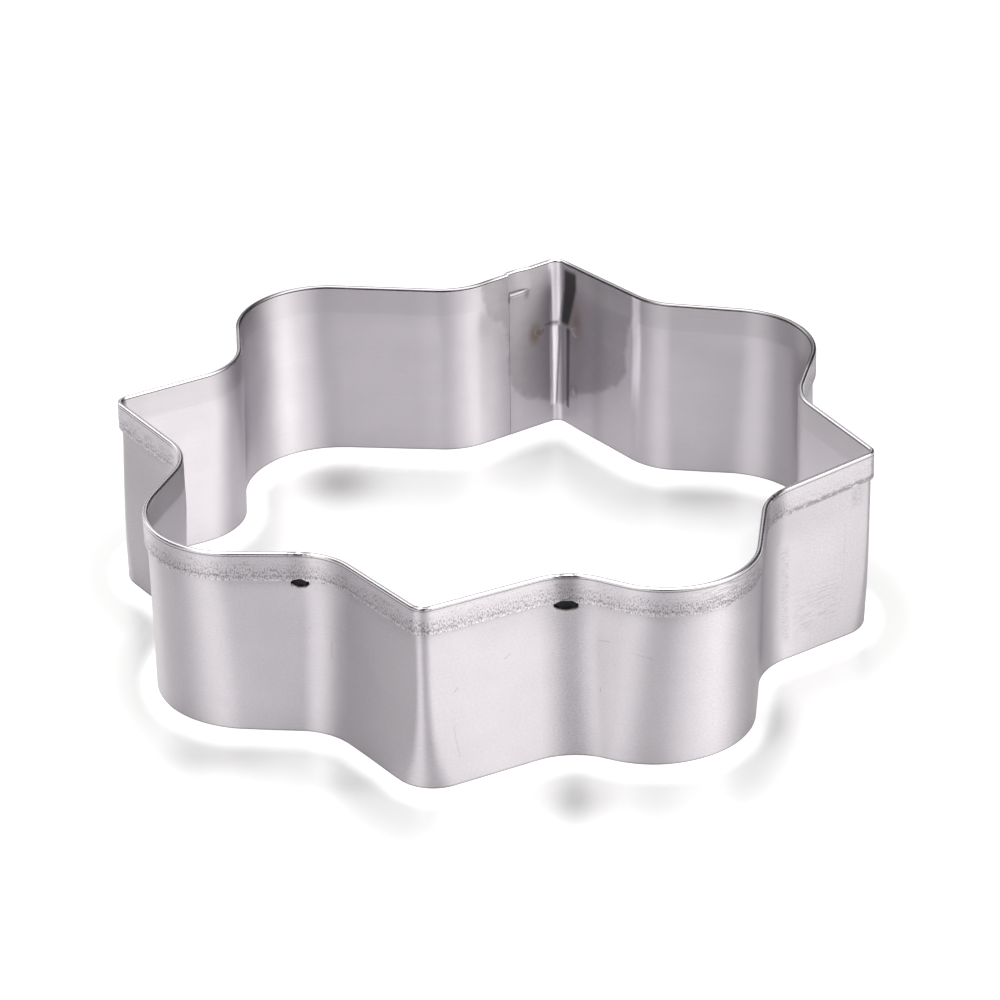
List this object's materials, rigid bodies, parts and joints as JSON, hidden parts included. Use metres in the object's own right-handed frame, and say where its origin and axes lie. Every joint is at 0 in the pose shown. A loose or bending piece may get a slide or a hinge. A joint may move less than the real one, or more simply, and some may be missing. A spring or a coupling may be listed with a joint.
{
  "type": "cookie cutter",
  "caption": "Star-flower cookie cutter bent from one hemmed steel strip, with sharp tips between round lobes, a lapped seam and spot welds.",
  "frame": {"origin": "under the middle of the cutter's box, on the plane of the cutting edge", "axes": "+Z from the cutting edge up to the hemmed rim, +Y towards the rear tip with the seam, +X towards the right tip"},
  "size_m": [0.0982, 0.0974, 0.025],
  "materials": {
    "strip_steel": "bright rolled stainless sheet, satin where the hem was pressed and stippled",
    "weld_steel": "dull electrode mark with brown heat tint"
  },
  "bodies": {
    "root": {"hemmed_strip": "strip_steel", "spot_weld_upper_left": "weld_steel", "spot_weld_upper_right": "weld_steel", "spot_weld_lower_right": "weld_steel"}
  },
  "joints": []
}
